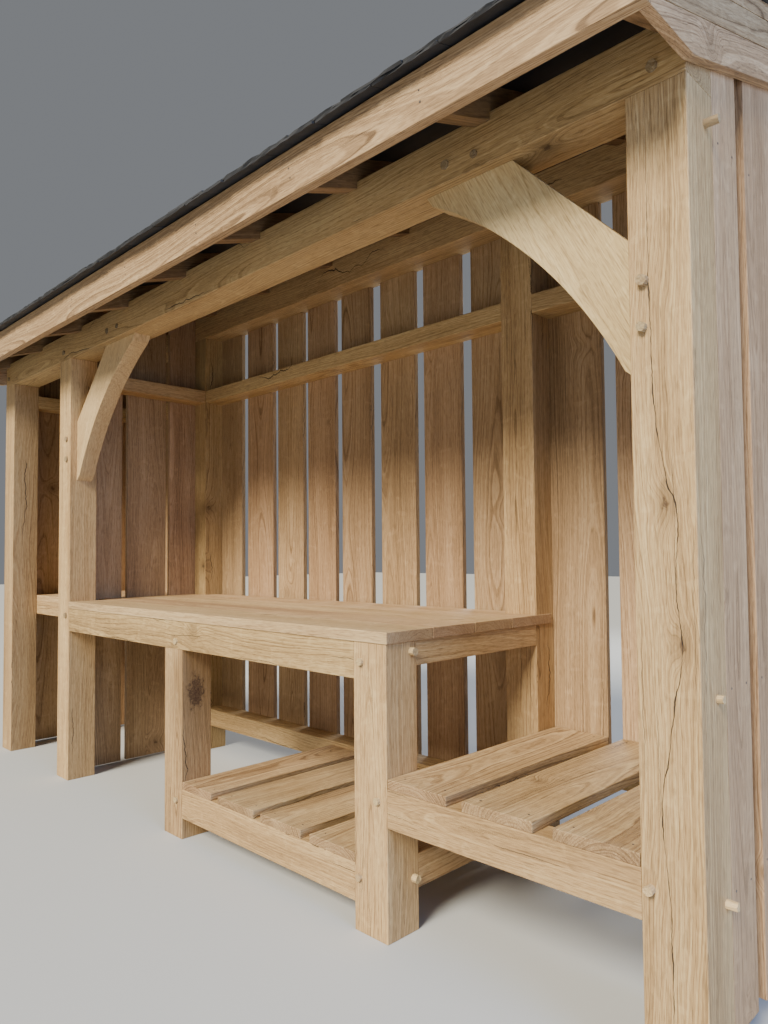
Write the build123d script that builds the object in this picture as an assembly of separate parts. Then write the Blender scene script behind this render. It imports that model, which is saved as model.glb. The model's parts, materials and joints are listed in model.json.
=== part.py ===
# Oak pergola: an open-fronted oak frame under a single-pitch slated roof, with a
# workbench, two slatted shelves, and walls of spaced upright boards at the back and ends.
#
# Millimetres. +X runs to the right along the front, +Y runs to the back, +Z is up.
# The origin is on the ground, at the middle of the roof's plan.
# The driving sizes stand first. Everything below them is worked out from them.

import os
from math import radians, sqrt, tan

from build123d import *

# Posts and the grid that they stand on, as distances from the left end of the frame
POST = 140.0
FRAME_LENGTH = 4160.0
SECOND_POST_X = 818.0
MIDDLE_POST_X = 3100.0
BENCH_LEG_X = 1940.0
CLEAR_DEPTH = 661.0
BENCH_LEG_DEPTH = 135.0

# Heights. Those of the heads, feet, rail bottoms, bench and shelves are from the ground.
# TOP_RAIL_DROP is from the front head down to the underside of the top rails.
FRONT_HEAD = 2175.0
PLATE_HEIGHT = 136.0
TOP_RAIL_DROP = 126.0
TOP_RAIL_HEIGHT = 72.0
BENCH_HEIGHT = 909.0
LEFT_SHELF_HEIGHT = 229.0
RIGHT_SHELF_HEIGHT = 479.0
BACK_LOW_RAIL_BOTTOM = 153.0
BACK_LOW_RAIL_HEIGHT = 94.0
BOARD_FOOT = 12.0
RIGHT_END_FOOT = 76.0

# Roof
PITCH = 18.3
RAFTER_SEAT = 24.0
RAFTER_WIDTH = 50.0
RAFTER_DEPTH = 94.0
VERGE_RAFTER_WIDTH = 61.0
RAFTER_SPACING = 512.0
FIRST_RAFTER_X = 521.0
RAFTER_COUNT = 7
DECK_DEPTH = 25.0
FRONT_EAVES = 220.0
BACK_EAVES = 120.0
FASCIA_THICKNESS = 32.0
FASCIA_HEIGHT = 134.0
BARGE_THICKNESS = 25.0
BARGE_TAIL_LENGTH = 204.0
SLATE_BED = 20.0
SLATE_OVERHANG = 49.0
SLATE_VERGE = 35.0

# Boards and rails
BOARD_THICKNESS = 25.0
BENCH_BOARD_THICKNESS = 36.0
SLAT_THICKNESS = 29.0
BACK_BOARD_WIDTHS = (209.0, 240.0, 218.0, 214.0, 209.0, 218.0, 211.0, 237.0)
BACK_BOARD_GAPS = (61.0, 46.0, 42.0, 53.0, 68.0, 56.0, 60.0)
RIGHT_BAY_WIDTHS = (221.0, 221.0, 228.0)
RIGHT_BAY_GAPS = (55.0, 55.0)
LEFT_BAY_WIDTHS = (190.0, 200.0, 189.0)
LEFT_BAY_GAPS = (52.0, 47.0)
END_BOARD_WIDTHS = (198.0, 236.0, 170.0)
END_BOARD_GAPS = (32.0, 25.0)
RIGHT_END_WIDTHS = (149.0, 220.0, 188.0)
RIGHT_END_GAPS = (55.0, 49.0)
BENCH_RAIL_HEIGHT = 76.0
SIDE_RAIL_HEIGHT = 103.0
APRON_HEIGHT = 115.0
APRON_THICKNESS = 95.0
LEFT_SHELF_RAIL_HEIGHT = 116.0
RIGHT_SHELF_RAIL_HEIGHT = 114.0
SHELF_RAIL_THICKNESS = 80.0
BENCH_JOINT = 2.0
BENCH_BOARD_WIDTHS = (209.0, 213.0, 213.0)
BENCH_BACK_GAP = 26.0
LEFT_SLAT_WIDTHS = (208.0, 226.0, 223.0, 215.0)
LEFT_SLAT_GAPS = (49.0, 42.0, 47.0)
RIGHT_SLAT_WIDTHS = (222.0, 222.0, 221.0)
RIGHT_SLAT_GAPS = (54.0, 57.0)
LEFT_BAY_BOARD = 250.0
LEFT_BAY_RAIL_THICKNESS = 45.0
SLAT_BEARER_THICKNESS = 45.0
BENCH_NOSING = 4.0
BENCH_END_OVERHANG = 7.0

# Braces: how far they reach along the plate and down the post, and where they sit
BRACE_REACH = 632.0
BRACE_DROP = 640.0
BRACE_TOP_REACH = 333.0
BRACE_TOP_DROP = 331.0
BRACE_TOE = (21.0, 29.0)
BRACE_HEEL = (30.0, 24.0)
BRACE_SAG = 61.0
BRACE_SET = 35.0
BRACE_THICKNESS = 78.0

# Clearances, all named
SLAT_END_CLEARANCE = 6.0
SHELF_SIDE_CLEARANCE = 2.0

# Derived levels
SLOPE = tan(radians(PITCH))
FRAME_DEPTH = CLEAR_DEPTH + 2 * POST
BACK_FACE = POST + CLEAR_DEPTH
FRONT_PLATE_TOP = FRONT_HEAD + PLATE_HEIGHT
TOP_RAIL_BOTTOM = FRONT_HEAD - TOP_RAIL_DROP
RAFTER_FOOT = FRONT_PLATE_TOP - RAFTER_SEAT
BACK_PLATE_TOP = RAFTER_FOOT + SLOPE * BACK_FACE + RAFTER_SEAT
BACK_HEAD = BACK_PLATE_TOP - PLATE_HEIGHT
DECK_UNDER = RAFTER_FOOT + RAFTER_DEPTH
ROOF_TOP = DECK_UNDER + DECK_DEPTH
FASCIA_FRONT = -FRONT_EAVES - FASCIA_THICKNESS
FASCIA_TOP = ROOF_TOP + SLOPE * FASCIA_FRONT
FASCIA_BOTTOM = FASCIA_TOP - FASCIA_HEIGHT
BACK_END = FRAME_DEPTH + BACK_EAVES
SLATE_FRONT = FASCIA_FRONT - SLATE_OVERHANG
SLATE_BACK = BACK_END + FASCIA_THICKNESS + SLATE_OVERHANG
BARGE_KINK = -FRONT_EAVES + BARGE_TAIL_LENGTH
BENCH_UNDER = BENCH_HEIGHT - BENCH_BOARD_THICKNESS
RAIL_THICKNESS = POST - BOARD_THICKNESS
BACK_BOARD_FRONT = BACK_FACE + RAIL_THICKNESS
LOW_RAIL_BOTTOM = RIGHT_SHELF_HEIGHT - SLAT_THICKNESS - RIGHT_SHELF_RAIL_HEIGHT
BENCH_RAIL_BOTTOM = BENCH_UNDER - BENCH_RAIL_HEIGHT
LEFT_SLAT_UNDER = LEFT_SHELF_HEIGHT - SLAT_THICKNESS
RIGHT_SLAT_UNDER = RIGHT_SHELF_HEIGHT - SLAT_THICKNESS

# Derived positions along the front, from the left end of the frame
LEFT_POST = (0.0, POST)
SECOND_POST = (SECOND_POST_X, SECOND_POST_X + POST)
BENCH_LEG = (BENCH_LEG_X, BENCH_LEG_X + POST)
MIDDLE_POST = (MIDDLE_POST_X, MIDDLE_POST_X + POST)
RIGHT_POST = (FRAME_LENGTH - POST, FRAME_LENGTH)
BENCH_LEFT = SECOND_POST[1] - RAIL_THICKNESS
BENCH_RIGHT = MIDDLE_POST[1] + BENCH_END_OVERHANG

# The frame is drawn from its front left corner and then moved to the origin
SHIFT_X = -FRAME_LENGTH / 2
SHIFT_Y = -(SLATE_FRONT + SLATE_BACK) / 2


def block(x, y, z):
    """A square-edged timber from its low and high limits along each axis."""
    length, depth, height = x[1] - x[0], y[1] - y[0], z[1] - z[0]
    corner = (Align.MIN, Align.MIN, Align.MIN)
    return Pos(x[0] + SHIFT_X, y[0] + SHIFT_Y, z[0]) * Box(length, depth, height, align=corner)


def side_profile(x, points):
    """A piece with a constant outline of (y, z) points, running from x[0] to x[1]."""
    outline = [(py + SHIFT_Y, pz) for py, pz in points]
    face = Plane.YZ * make_face(Polyline(*outline, close=True))
    return Pos(x[0] + SHIFT_X, 0, 0) * extrude(face, x[1] - x[0], dir=(1, 0, 0))


def rise(level, y):
    """The height, at depth y, of a plane with the roof's pitch that is at level where y is 0."""
    return level + SLOPE * y


def group(pieces):
    """Several separate timbers kept together as one named piece."""
    return Compound(children=list(pieces))


def fill(start, end, widths, gaps):
    """Board limits from start to end. The widths are shares, and the gaps are kept as given."""
    share = (end - start - sum(gaps)) / sum(widths)
    limits = []
    for width, gap in zip(widths, gaps + (0.0,)):
        limits.append((start, start + width * share))
        start += width * share + gap
    return limits


# Posts and legs

def front_post(x):
    return block(x, (0, POST), (0, FRONT_HEAD))


def back_post(x):
    return block(x, (BACK_FACE, FRAME_DEPTH), (0, BACK_HEAD))


def bench_leg_left():
    return block(BENCH_LEG, (0, BENCH_LEG_DEPTH), (0, BENCH_UNDER - APRON_HEIGHT))


def bench_leg_right():
    return block(MIDDLE_POST, (0, BENCH_LEG_DEPTH), (0, BENCH_UNDER))


# Wall plates

def front_plate():
    return block((0, FRAME_LENGTH), (0, POST), (FRONT_HEAD, FRONT_PLATE_TOP))


def back_plate():
    return block((0, FRAME_LENGTH), (BACK_FACE, FRAME_DEPTH), (BACK_HEAD, BACK_PLATE_TOP))


# Braces

def brace(face_x, away):
    """The curved brace that springs from a post face at face_x and leans towards away."""
    def at(reach, drop):
        return (face_x + SHIFT_X + away * reach, FRONT_HEAD - drop)

    high = (BRACE_REACH - BRACE_TOE[0], BRACE_TOE[1])
    low = (BRACE_HEEL[0], BRACE_DROP - BRACE_HEEL[1])
    middle = ((high[0] + low[0] - BRACE_SAG * sqrt(2)) / 2, (high[1] + low[1] - BRACE_SAG * sqrt(2)) / 2)
    under = ThreePointArc(at(*high), at(*middle), at(*low))
    toe = Polyline(at(0, BRACE_TOP_DROP), at(BRACE_TOP_REACH, 0), at(BRACE_REACH, 0), at(*high))
    heel = Polyline(at(*low), at(0, BRACE_DROP), at(0, BRACE_TOP_DROP))
    front = Plane((0, BRACE_SET + SHIFT_Y, 0), x_dir=(1, 0, 0), z_dir=(0, -1, 0))
    return extrude(front * make_face([toe, under, heel]), BRACE_THICKNESS, dir=(0, 1, 0))


# Rails of the back wall

def back_bays():
    starts = (LEFT_POST[1], SECOND_POST[1], MIDDLE_POST[1])
    ends = (SECOND_POST[0], MIDDLE_POST[0], RIGHT_POST[0])
    return tuple(zip(starts, ends))


def back_rail(bay, bottom, height):
    return block(bay, (BACK_FACE, BACK_BOARD_FRONT), (bottom, bottom + height))


def back_low_rails():
    rails = [back_rail(bay, BACK_LOW_RAIL_BOTTOM, BACK_LOW_RAIL_HEIGHT) for bay in back_bays()[:2]]
    rails.append(back_rail(back_bays()[2], LOW_RAIL_BOTTOM, RIGHT_SHELF_RAIL_HEIGHT))
    return rails


# Rails and boards of the walls that run front to back

def end_rail(inner, side, bottom, height):
    """A rail whose wall has its inner post face at inner, with the boards on the side given."""
    outer = inner + side * RAIL_THICKNESS
    return block((min(inner, outer), max(inner, outer)), (POST, BACK_FACE), (bottom, bottom + height))


def end_wall(inner, side, widths, gaps, foot, top):
    """Upright boards of one end wall. The height that they are cut to at depth 0 is top."""
    near = inner + side * RAIL_THICKNESS
    far = near + side * BOARD_THICKNESS
    boards = []
    for start, end in fill(POST, BACK_FACE, widths, gaps):
        outline = [(start, foot), (end, foot), (end, rise(top, end)), (start, rise(top, start))]
        boards.append(side_profile((min(near, far), max(near, far)), outline))
    return boards


def back_wall_boards():
    depth = (BACK_BOARD_FRONT, FRAME_DEPTH)
    patterns = (
        (LEFT_BAY_WIDTHS, LEFT_BAY_GAPS, BACK_LOW_RAIL_BOTTOM),
        (BACK_BOARD_WIDTHS, BACK_BOARD_GAPS, BACK_LOW_RAIL_BOTTOM),
        (RIGHT_BAY_WIDTHS, RIGHT_BAY_GAPS, LOW_RAIL_BOTTOM),
    )
    boards = []
    for bay, (widths, gaps, foot) in zip(back_bays(), patterns):
        for span in fill(bay[0], bay[1], widths, gaps):
            boards.append(block(span, depth, (foot, BACK_HEAD)))
    return boards


# Bench

def bench_apron():
    x = (SECOND_POST[1], MIDDLE_POST[0])
    return block(x, (0, APRON_THICKNESS), (BENCH_UNDER - APRON_HEIGHT, BENCH_UNDER))


def bench_end_rail():
    x = (MIDDLE_POST[1] - SHELF_RAIL_THICKNESS, MIDDLE_POST[1])
    return block(x, (BENCH_LEG_DEPTH, BACK_FACE), (BENCH_RAIL_BOTTOM, BENCH_UNDER))


def bench_back_rails():
    return [back_rail(bay, BENCH_RAIL_BOTTOM, BENCH_RAIL_HEIGHT) for bay in back_bays()[:2]]


def bench_top():
    """Boards laid along the bench. The front one stops at the post and the back one is let round two."""
    z = (BENCH_UNDER, BENCH_HEIGHT)
    start = -BENCH_NOSING
    left = SECOND_POST[1]
    boards = []
    for width in BENCH_BOARD_WIDTHS:
        boards.append(block((left, BENCH_RIGHT), (start, start + width), z))
        start += width + BENCH_JOINT
        left = BENCH_LEFT
    last = block((left, BENCH_RIGHT), (start, BACK_BOARD_FRONT - BENCH_BACK_GAP), z)
    boards.append(last - back_post(SECOND_POST) - back_post(MIDDLE_POST))
    return boards


def left_bay_shelf():
    """The shelf of the narrow left bay, at bench height, set back to the rear of the front posts."""
    x = (LEFT_POST[1] - RAIL_THICKNESS, SECOND_POST[0])
    z = (BENCH_UNDER, BENCH_HEIGHT)
    start = POST
    boards = []
    for end in (POST + LEFT_BAY_BOARD, POST + 2 * LEFT_BAY_BOARD):
        boards.append(block(x, (start, end), z))
        start = end + BENCH_JOINT
    last = block(x, (start, BACK_BOARD_FRONT - BENCH_BACK_GAP), z)
    boards.append(last - back_post(LEFT_POST))
    return boards


def left_bay_rail():
    """The rail under the front edge of the left bay's shelf, between the two walls beside it."""
    y = (POST, POST + LEFT_BAY_RAIL_THICKNESS)
    return block((LEFT_POST[1], SECOND_POST[0]), y, (BENCH_RAIL_BOTTOM, BENCH_UNDER))


# Shelves

def shelf_front_rail(x, under, height):
    return block(x, (0, SHELF_RAIL_THICKNESS), (under - height, under))


def slats(start, end, widths, gaps, back, under):
    x = fill(start + SHELF_SIDE_CLEARANCE, end - SHELF_SIDE_CLEARANCE, widths, gaps)
    return [block(span, (0, back), (under, under + SLAT_THICKNESS)) for span in x]


def left_shelf_slats():
    ends = (BENCH_LEG[1], MIDDLE_POST[0])
    return slats(*ends, LEFT_SLAT_WIDTHS, LEFT_SLAT_GAPS, BACK_FACE, LEFT_SLAT_UNDER)


def left_shelf_bearer():
    """The bearer on the face of the low back rail that carries the back ends of the slats."""
    y = (BACK_FACE - SLAT_BEARER_THICKNESS, BACK_FACE)
    return block((BENCH_LEG[1], MIDDLE_POST[0]), y, (BACK_LOW_RAIL_BOTTOM, LEFT_SLAT_UNDER))


def left_shelf_side_rail():
    x = (MIDDLE_POST[1] - SHELF_RAIL_THICKNESS, MIDDLE_POST[1])
    bottom = LEFT_SLAT_UNDER - BENCH_RAIL_HEIGHT
    return block(x, (BENCH_LEG_DEPTH, BACK_FACE), (bottom, bottom + SIDE_RAIL_HEIGHT))


def right_shelf_slats():
    ends = (MIDDLE_POST[1], RIGHT_POST[0])
    back = BACK_BOARD_FRONT - SLAT_END_CLEARANCE
    return slats(*ends, RIGHT_SLAT_WIDTHS, RIGHT_SLAT_GAPS, back, RIGHT_SLAT_UNDER)


# Roof

def sloped(x, front, back, low, high):
    """A slab that follows the pitch between two levels, each given at depth 0."""
    return side_profile(x, [
        (front, rise(low, front)),
        (back, rise(low, back)),
        (back, rise(high, back)),
        (front, rise(high, front)),
    ])


def rafter(left, width):
    stick = sloped((left, left + width), -FRONT_EAVES, BACK_END, RAFTER_FOOT, DECK_UNDER)
    return stick - front_plate() - back_plate()


def rafters():
    inner = [rafter(FIRST_RAFTER_X + i * RAFTER_SPACING, RAFTER_WIDTH) for i in range(RAFTER_COUNT)]
    verges = [rafter(x, VERGE_RAFTER_WIDTH) for x in (0.0, FRAME_LENGTH - VERGE_RAFTER_WIDTH)]
    return verges + inner


def fascia():
    """The front board, which runs past the front ends of both barge boards."""
    return side_profile((-BARGE_THICKNESS, FRAME_LENGTH + BARGE_THICKNESS), [
        (FASCIA_FRONT, FASCIA_BOTTOM),
        (-FRONT_EAVES, FASCIA_BOTTOM),
        (-FRONT_EAVES, rise(ROOF_TOP, -FRONT_EAVES)),
        (FASCIA_FRONT, FASCIA_TOP),
    ])


def back_fascia():
    """The back board, which stops between the barge boards."""
    far = BACK_END + FASCIA_THICKNESS
    top = rise(ROOF_TOP, BACK_END)
    return side_profile((0, FRAME_LENGTH), [
        (BACK_END, top - FASCIA_HEIGHT),
        (far, top - FASCIA_HEIGHT),
        (far, rise(ROOF_TOP, far)),
        (BACK_END, top),
    ])


def barge(inner, side):
    """The boarding on the outer face of the verge rafter. Its tail is cut level with the fascia."""
    outer = inner + side * BARGE_THICKNESS
    far = BACK_END + FASCIA_THICKNESS
    return side_profile((min(inner, outer), max(inner, outer)), [
        (-FRONT_EAVES, FASCIA_BOTTOM),
        (BARGE_KINK, FASCIA_BOTTOM),
        (far, FASCIA_BOTTOM + SLOPE * (far - BARGE_KINK)),
        (far, rise(ROOF_TOP, far)),
        (-FRONT_EAVES, rise(ROOF_TOP, -FRONT_EAVES)),
    ])


def roof_deck():
    return sloped((0, FRAME_LENGTH), -FRONT_EAVES, BACK_END, DECK_UNDER, ROOF_TOP)


def roof_slates():
    """The slated covering as one bed, as thick as two courses of slate and their lap."""
    edge = BARGE_THICKNESS + SLATE_VERGE
    return sloped((-edge, FRAME_LENGTH + edge), SLATE_FRONT, SLATE_BACK, ROOF_TOP, ROOF_TOP + SLATE_BED)


def all_parts():
    left_in, second_in, right_in = LEFT_POST[1], SECOND_POST[1], RIGHT_POST[0]
    bench_rail = (BENCH_RAIL_BOTTOM, BENCH_RAIL_HEIGHT)
    top_rail = (TOP_RAIL_BOTTOM, TOP_RAIL_HEIGHT)
    low_rail = (LOW_RAIL_BOTTOM, RIGHT_SHELF_RAIL_HEIGHT)
    left_shelf = ((BENCH_LEG[1], MIDDLE_POST[0]), LEFT_SLAT_UNDER, LEFT_SHELF_RAIL_HEIGHT)
    right_shelf = ((MIDDLE_POST[1], RIGHT_POST[0]), RIGHT_SLAT_UNDER, RIGHT_SHELF_RAIL_HEIGHT)
    plain_wall = (END_BOARD_WIDTHS, END_BOARD_GAPS, BOARD_FOOT)
    right_wall = (RIGHT_END_WIDTHS, RIGHT_END_GAPS, RIGHT_END_FOOT)
    return {
        "front_left_post": front_post(LEFT_POST),
        "front_second_post": front_post(SECOND_POST),
        "front_right_post": front_post(RIGHT_POST),
        "back_left_post": back_post(LEFT_POST),
        "back_second_post": back_post(SECOND_POST),
        "back_middle_post": back_post(MIDDLE_POST),
        "back_right_post": back_post(RIGHT_POST),
        "front_plate": front_plate(),
        "back_plate": back_plate(),
        "left_brace": brace(SECOND_POST[1], 1),
        "right_brace": brace(RIGHT_POST[0], -1),
        "back_top_rails": group(back_rail(bay, *top_rail) for bay in back_bays()),
        "back_low_rails": group(back_low_rails()),
        "left_end_top_rail": end_rail(left_in, -1, *top_rail),
        "dividing_top_rail": end_rail(second_in, -1, *top_rail),
        "right_end_top_rail": end_rail(right_in, 1, *top_rail),
        "left_end_bench_rail": end_rail(left_in, -1, *bench_rail),
        "dividing_bench_rail": end_rail(second_in, -1, *bench_rail),
        "right_end_bench_rail": end_rail(right_in, 1, *bench_rail),
        "right_end_low_rail": end_rail(right_in, 1, *low_rail),
        "bench_left_leg": bench_leg_left(),
        "bench_right_leg": bench_leg_right(),
        "bench_apron": bench_apron(),
        "bench_end_rail": bench_end_rail(),
        "bench_back_rails": group(bench_back_rails()),
        "bench_top": group(bench_top()),
        "left_bay_shelf": group(left_bay_shelf()),
        "left_bay_rail": left_bay_rail(),
        "left_shelf_front_rail": shelf_front_rail(*left_shelf),
        "left_shelf_bearer": left_shelf_bearer(),
        "left_shelf_side_rail": left_shelf_side_rail(),
        "left_shelf_slats": group(left_shelf_slats()),
        "right_shelf_front_rail": shelf_front_rail(*right_shelf),
        "right_shelf_slats": group(right_shelf_slats()),
        "back_boards": group(back_wall_boards()),
        "left_end_boards": group(end_wall(left_in, -1, *plain_wall, RAFTER_FOOT)),
        "dividing_boards": group(end_wall(second_in, -1, *plain_wall, DECK_UNDER)),
        "right_end_boards": group(end_wall(right_in, 1, *right_wall, RAFTER_FOOT)),
        "rafters": group(rafters()),
        "fascia": fascia(),
        "back_fascia": back_fascia(),
        "left_barge": barge(0.0, -1),
        "right_barge": barge(FRAME_LENGTH, 1),
        "roof_deck": roof_deck(),
        "roof_slates": roof_slates(),
    }


os.makedirs("parts", exist_ok=True)
for name, shape in all_parts().items():
    export_step(shape, "parts/" + name + ".step")
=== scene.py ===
# %% [markdown]
# # An oak shelter under a slate roof
#
# The real object is a small open-fronted building in fresh oak. Square posts carry two wall
# plates, rafters run from the front plate up to the back one, and slates lie on the rafters.
# Boards with gaps between them close the back and the ends, and a worktop and two slatted
# shelves stand inside.
#
# The sizes come from a measured model. This script gives each timber its sawn edges, its
# grain and its pegs, and lays the slates one by one.

# %% Load the measured frame
import json
import math
import random

import bmesh
import bpy
import numpy as np
from mathutils import Matrix, Vector


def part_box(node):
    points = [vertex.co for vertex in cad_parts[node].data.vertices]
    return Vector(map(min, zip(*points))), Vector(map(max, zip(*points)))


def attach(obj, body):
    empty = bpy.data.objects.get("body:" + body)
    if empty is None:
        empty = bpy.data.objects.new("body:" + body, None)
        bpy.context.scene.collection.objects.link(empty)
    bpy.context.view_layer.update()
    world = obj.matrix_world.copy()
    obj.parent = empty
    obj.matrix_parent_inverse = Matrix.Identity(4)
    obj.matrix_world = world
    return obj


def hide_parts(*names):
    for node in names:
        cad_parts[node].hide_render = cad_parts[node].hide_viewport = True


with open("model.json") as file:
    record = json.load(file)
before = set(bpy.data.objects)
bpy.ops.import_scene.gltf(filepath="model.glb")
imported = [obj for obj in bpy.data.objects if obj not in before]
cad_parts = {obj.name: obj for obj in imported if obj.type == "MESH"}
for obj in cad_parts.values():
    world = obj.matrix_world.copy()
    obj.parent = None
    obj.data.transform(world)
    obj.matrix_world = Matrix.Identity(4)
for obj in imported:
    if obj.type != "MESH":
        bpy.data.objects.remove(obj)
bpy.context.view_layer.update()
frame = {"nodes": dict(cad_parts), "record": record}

nodes = frame["nodes"]
print("measured pieces:", len(nodes))

# %% [markdown]
# ## Sums that become nodes
#
# Most nodes in a material or a Geometry Nodes tree only do arithmetic. The class below wraps
# an output of a node, so a sum written with it adds the nodes that work it out. The function
# put adds any other node. Its inputs are plain values or such wrapped outputs.

# %% Values and nodes
class Value:
    """One output of a node, ready for sums."""

    def __init__(self, socket):
        self.socket = socket
        self.tree = socket.id_data
        self.vector = socket.type in ("VECTOR", "RGBA")

    def do(self, operation, *others):
        kind = "ShaderNodeVectorMath" if self.vector else "ShaderNodeMath"
        output = "Value" if operation == "LENGTH" else 0
        return put(self.tree, kind, dict(enumerate((self, *others))), output, operation=operation)

    def __add__(self, other):
        return self.do("ADD", other)

    def __sub__(self, other):
        return self.do("SUBTRACT", other)

    def __truediv__(self, other):
        return self.do("DIVIDE", other)

    def __mul__(self, other):
        if self.vector and not isinstance(other, tuple):
            return put(self.tree, "ShaderNodeVectorMath", {0: self, "Scale": other}, operation="SCALE")
        return self.do("MULTIPLY", other)

    def times(self, factor, plus):
        return self.do("MULTIPLY_ADD", factor, plus)

    def other(self, output):
        """Another output of the same node."""
        return Value(self.socket.node.outputs[output])

    def split(self):
        """The three numbers in a vector or a colour."""
        return [Value(s) for s in put(self.tree, "ShaderNodeSeparateXYZ", {0: self}).socket.node.outputs]


def fill(made, inputs):
    """Link or set the inputs of a node."""
    for key, value in inputs.items():
        if isinstance(value, Value):
            value.tree.links.new(value.socket, made.inputs[key])
        else:
            made.inputs[key].default_value = value


def put(tree, kind, inputs=None, output=0, **options):
    """Add a node, set its options, fill its inputs and give back one of its outputs."""
    made = tree.nodes.new(kind)
    for option, value in options.items():
        setattr(made, option, value)
    fill(made, inputs or {})
    return Value(made.outputs[output]) if len(made.outputs) else None


def combine(x=0.0, y=0.0, z=0.0):
    tree = next(part.tree for part in (x, y, z) if isinstance(part, Value))
    return put(tree, "ShaderNodeCombineXYZ", {0: x, 1: y, 2: z})


def new_tree(name, kind, inputs, outputs):
    """A node group with named sockets of the given kinds, and its inputs as values."""
    tree = bpy.data.node_groups.new(name, kind)
    for way, sockets in (("INPUT", inputs), ("OUTPUT", outputs)):
        for label, socket in sockets.items():
            tree.interface.new_socket(label, in_out=way, socket_type="NodeSocket" + socket)
    given = put(tree, "NodeGroupInput").other
    return tree, {label: given(label) for label in inputs}


# %% [markdown]
# ## Oak grain as a solid pattern
#
# A board's grain is not a picture laid on its faces. It is a set of nested cylinders, the year
# rings, which the saw has sliced. If the shader works out those rings in three dimensions,
# long faces show arches and stripes, end faces show arcs, and the two meet at the arris.
#
# Each timber carries a small coordinate of its own, called grain, in metres: x runs along the
# timber, y across its wide face and z through its thickness. It also carries a random number,
# called seed, which moves the heart of the trunk and picks another stretch of it.

# %% Noise and steps
def noise(place, stretch, detail=2.0, roughness=0.5):
    """Noise with so many repeats a metre along, across and through the timber."""
    return put(place.tree, "ShaderNodeTexNoise", {
        "Vector": place * stretch, "Scale": 1.0, "Detail": detail, "Roughness": roughness})


def line_noise(place, detail=0.0, roughness=0.5):
    """Noise along one number, for bands of uneven width."""
    return put(place.tree, "ShaderNodeTexNoise", {
        "W": place, "Scale": 1.0, "Detail": detail, "Roughness": roughness}, noise_dimensions="1D")


def soft_step(value, low, high, start=0.0, end=1.0):
    """Go smoothly from start to end while value goes from low to high."""
    return put(value.tree, "ShaderNodeMapRange", {0: value, 1: low, 2: high, 3: start, 4: end},
               interpolation_type="SMOOTHSTEP")


def chance(seed, factor):
    """A random number from 0 to 1 that depends only on the timber's seed."""
    return put(seed.tree, "ShaderNodeTexWhiteNoise", {"W": seed * factor}, "Value", noise_dimensions="1D")


# %% [markdown]
# ### Knots
#
# A knot is the root of a branch. A Voronoi texture scatters points through the wood, and some
# of them become knots. Two more can be put where a knot stands out on one timber. Distances
# are counted in knot sizes, so one rule draws them all: small dark rings, and a halo.

# %% Knots
KNOT_SPACING = 0.30
KNOT_SHARE = 0.45
KNOT_RADIUS = 0.011
NO_KNOT = (9.0, 9.0, 9.0)
FAR_AWAY = 50.0
OWN_KNOT_SHAPE = (0.7, 1.2, 1.2)


def nearest_knot(grain, place, own_knots, own_size):
    """The distance to the nearest knot, in knot sizes."""
    knots = put(grain.tree, "ShaderNodeTexVoronoi", {"Vector": place * (1 / KNOT_SPACING), "Scale": 1.0})
    lot, large, _ = knots.other("Color").split()
    size = large.times(KNOT_RADIUS, KNOT_RADIUS * 0.5)
    present = lot.do("GREATER_THAN", 1.0 - KNOT_SHARE)
    near = knots * KNOT_SPACING / size + present.times(-FAR_AWAY, FAR_AWAY)
    for spot in own_knots:
        away = ((grain - spot) * OWN_KNOT_SHAPE).do("LENGTH")
        near = near.do("MINIMUM", away / own_size)
    return near


def knot_marks(place, near):
    """The dark knot, and the halo of darker wood around it."""
    rough_edge = noise(place, (70.0, 110.0, 110.0), 1.0)
    spread = rough_edge.times(1.5, near - 0.75)
    inner_rings = line_noise(spread * 7.0, 1.0)
    knot = soft_step(spread, 1.2, 0.5) * soft_step(inner_rings, 0.3, 0.6, 0.45)
    return knot, soft_step(near, 4.2, 1.0)


# %% [markdown]
# ### Year rings
#
# Rings are counted by the distance from the heart of the trunk, which lies behind the wide
# face, off to one side, and wanders along the timber. That turns stripes into arches. The
# rings swell out around a knot, and slow and quick noise waves them a little.

# %% Year rings
RING_WIDTH = 0.0058
HEART_WANDER = (0.0, 0.15, 0.15)
KNOT_BULGE, BULGE_REACH = 0.030, 3.4
SLOW_WAVE, QUICK_WAVE = 0.030, 0.0045


def ring_marks(flat, place, seed, wave, heart, near):
    """Bands of early and late wood, and the fine dark lines between them."""
    wander = noise(place, (0.70, 0.0, 0.0), 1.0).other("Color") - (0.5, 0.5, 0.5)
    radius = (flat - heart + wander * HEART_WANDER).do("LENGTH")
    bulge = put(near.tree, "ShaderNodeMath", {0: 2.718, 1: near * near * (-1.0 / BULGE_REACH ** 2)},
                operation="POWER")
    radius = bulge.times(KNOT_BULGE, radius)
    radius = noise(place, (1.9, 11.0, 11.0)).times(wave * SLOW_WAVE, radius)
    radius = noise(place, (11.0, 42.0, 42.0)).times(wave * QUICK_WAVE, radius)
    turns = radius / RING_WIDTH + seed * 77.0
    rings = soft_step(line_noise(turns, 2.0, 0.6), 0.28, 0.72)
    lines = soft_step(line_noise(turns * 1.7, 1.0), 0.55, 0.68)
    return rings, lines


# %% [markdown]
# ### Drying checks
#
# Fresh oak shrinks as it dries and opens in thin cracks, which fan out from a line well behind
# the timber. A one-dimensional Voronoi texture gives each its angle, and noise along the
# timber opens and closes it.

# %% Drying checks
CHECKS_AROUND = 5.0
CHECK_FAN = 0.18
CHECK_WIDTH = 0.0009
CHECK_DRIFT = 0.16


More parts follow.
